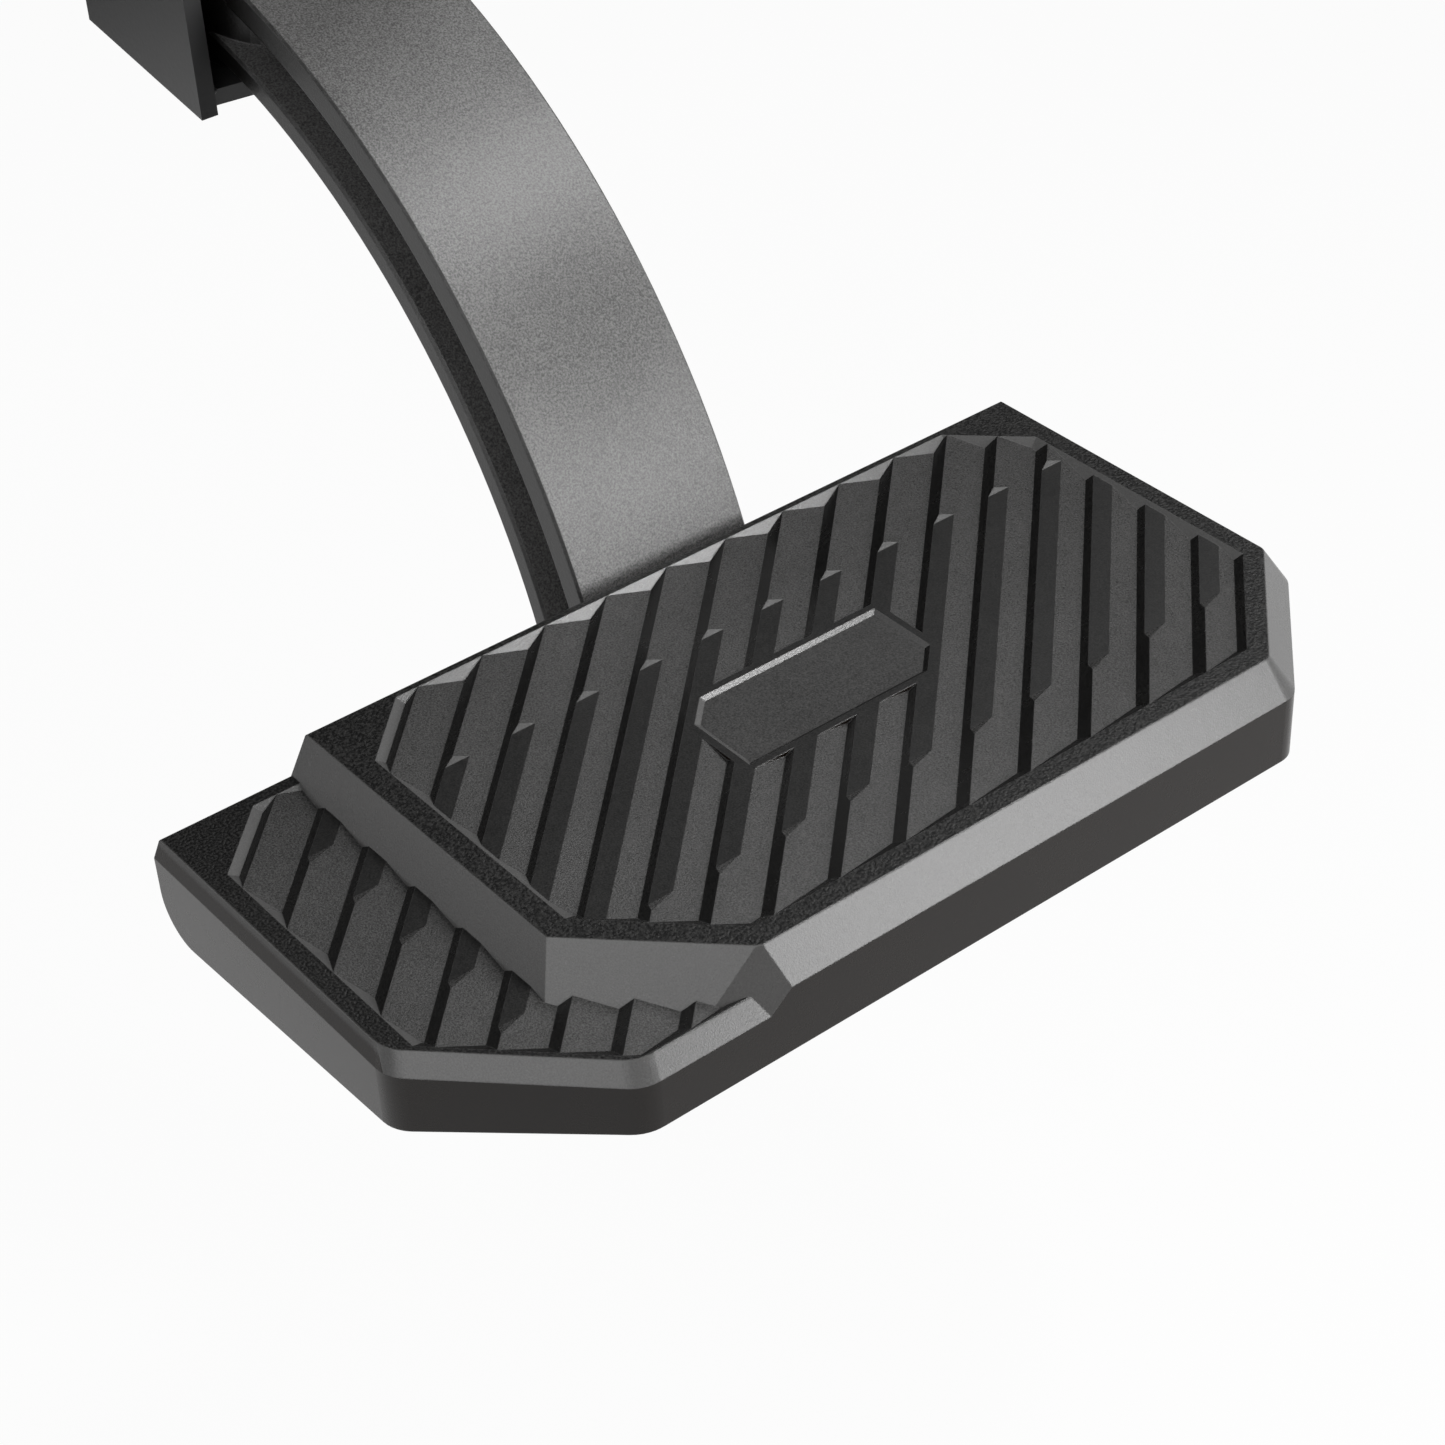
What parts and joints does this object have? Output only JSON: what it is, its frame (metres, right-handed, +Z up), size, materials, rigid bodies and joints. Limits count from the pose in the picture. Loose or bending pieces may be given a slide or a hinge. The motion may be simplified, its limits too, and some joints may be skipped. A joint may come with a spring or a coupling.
{
  "type": "truck bed step",
  "caption": "Bumper step for a pickup: stepped platform with a louvred diagonal tread, on a curved arm that swings on a tilted post under a bolt-on bracket.",
  "frame": {"origin": "centre of the bracket's top mounting face, between its four holes", "axes": "+Z up out of the mounting face, -Y outward to the platform, +X to the right seen from behind the truck"},
  "size_m": [0.4388, 0.5581, 0.3068],
  "materials": {
    "deck_plastic": "fine grained matte black moulding",
    "arm_coat": "cast, satin dark coat",
    "bracket_paint": "black powder coat",
    "plate": "mill finish plate",
    "zinc": "zinc plated",
    "steel": "ground steel",
    "bronze": "turned bearing bronze",
    "rubber": "moulded rubber"
  },
  "bodies": {
    "bracket_body": {"bracket": "bracket_paint", "pivot_bolt": "zinc", "pivot_washer": "zinc", "pivot_nut": "zinc", "pivot_sleeve": "steel", "upper_thrust_washer": "bronze", "lower_thrust_washer": "bronze", "disc_springs": "steel", "deployed_buffer": "rubber", "stowed_buffer": "rubber"},
    "arm_body": {"arm": "arm_coat", "upper_bush": "bronze", "lower_bush": "bronze", "stop_pin": "steel", "deck": "deck_plastic", "deck_frame": "plate", "arm_bolts": "zinc", "arm_washers": "zinc", "arm_nuts": "zinc", "deck_screws": "zinc"}
  },
  "joints": [
    {"name": "arm_swing", "type": "hinge", "parent": "bracket_body", "child": "arm_body", "pos_m": [0, 0, -0.0739], "axis": [0, -0.1736, 0.9848], "range_deg": [0, 100]}
  ]
}
